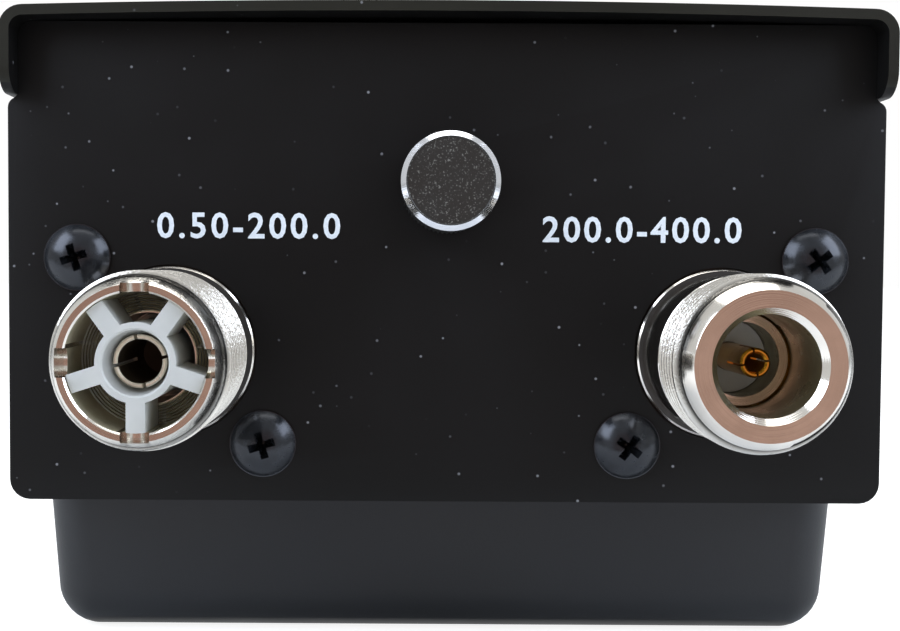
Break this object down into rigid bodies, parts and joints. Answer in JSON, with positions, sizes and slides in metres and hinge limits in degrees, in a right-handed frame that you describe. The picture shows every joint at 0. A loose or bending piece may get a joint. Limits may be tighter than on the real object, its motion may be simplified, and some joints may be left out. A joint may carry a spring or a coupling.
{
  "type": "antenna analyzer",
  "caption": "Hand-held antenna analyzer in a folded metal box, with a UHF socket and an N socket at one end, a cross-needle meter, a display and a battery case.",
  "frame": {"origin": "middle of the overall length and width, on the plane that the battery case rests on", "axes": "+X to the right seen from the socket end, +Y from the socket end to the far end, +Z from the battery case to the operating face"},
  "size_m": [0.0894, 0.1994, 0.0791],
  "materials": {
    "box_paint": "matt black stove enamel on folded steel",
    "panel_paint": "satin black stove enamel on folded steel",
    "case_plastic": "black moulded plastic with a fine grain",
    "cell_jacket": "plain metal jacket",
    "spring_nickel": "nickel-plated spring steel",
    "socket_nickel": "bright nickel plate on turned brass",
    "pale_insulator": "translucent white plastic",
    "n_insulator": "white plastic",
    "silver_contact": "silver plate on turned brass",
    "gold_contact": "gold plate on turned brass",
    "black_screw": "black oxide",
    "plain_steel": "zinc-plated steel",
    "knob_metal": "black anodised, with a bright turned rim",
    "knob_plastic": "black moulded plastic",
    "switch_plastic": "dark plastic",
    "meter_plastic": "black plastic",
    "clear_window": "clear plastic",
    "dial_card": "printed white card",
    "pointer": "black painted",
    "lcd_glass": "grey-green display glass",
    "board_green": "green solder mask"
  },
  "bodies": {
    "housing": {"chassis": "box_paint", "front_panel": "panel_paint", "battery_case": "case_plastic", "battery_cells": "cell_jacket", "battery_contacts": "spring_nickel", "uhf_shell": "socket_nickel", "uhf_insulator": "pale_insulator", "uhf_contact": "silver_contact", "n_shell": "socket_nickel", "n_insulator": "n_insulator", "n_contact": "gold_contact", "connector_screws": "black_screw", "connector_nuts": "plain_steel", "lid_screws": "black_screw", "case_screws": "plain_steel", "tuning_pot": "plain_steel", "tuning_nut": "plain_steel", "tuning_bracket": "plain_steel", "bracket_screws": "plain_steel", "band_switch": "switch_plastic", "band_nut": "plain_steel", "power_switch": "switch_plastic", "meter_case": "meter_plastic", "meter_window": "clear_window", "meter_scale": "dial_card", "meter_movements": "plain_steel", "meter_nuts": "plain_steel", "lcd_window": "clear_window", "lcd_module": "lcd_glass", "main_board": "board_green", "main_standoffs": "plain_steel", "main_screws": "plain_steel", "rf_board": "board_green", "rf_standoffs": "plain_steel", "rf_screws": "plain_steel", "rf_shield": "plain_steel", "dc_jack": "switch_plastic", "dc_nut": "plain_steel"},
    "tuning": {"tuning_knob": "knob_metal", "tuning_shaft": "plain_steel"},
    "band": {"band_knob": "knob_plastic", "band_shaft": "plain_steel"},
    "power": {"power_button": "knob_plastic"},
    "swr_pointer": {"swr_needle": "pointer"},
    "impedance_pointer": {"impedance_needle": "pointer"},
    "door": {"battery_door": "case_plastic"}
  },
  "joints": [
    {"name": "tuning_turn", "type": "hinge", "parent": "housing", "child": "tuning", "pos_m": [0, -0.08315, 0.0469], "axis": [0, -1, 0], "range_deg": [-150, 150]},
    {"name": "band_turn", "type": "hinge", "parent": "housing", "child": "band", "pos_m": [0, 0.05885, 0.064], "axis": [0, 0, 1], "range_deg": [-105, 105]},
    {"name": "power_press", "type": "slide", "parent": "housing", "child": "power", "axis": [0, 0, -1], "range_m": [0, 0.0015], "stiffness_N_per_m": 300},
    {"name": "swr_swing", "type": "hinge", "parent": "housing", "child": "swr_pointer", "pos_m": [-0.016, -0.01815, 0.05595], "axis": [0, 0, 1], "range_deg": [0, 75], "stiffness_Nm_per_rad": 0.0001},
    {"name": "impedance_swing", "type": "hinge", "parent": "housing", "child": "impedance_pointer", "pos_m": [0.016, -0.01815, 0.05595], "axis": [0, 0, 1], "range_deg": [-75, 0], "stiffness_Nm_per_rad": 0.0001},
    {"name": "door_slide", "type": "slide", "parent": "housing", "child": "door", "axis": [0, 1, 0], "range_m": [0, 0.125]}
  ]
}
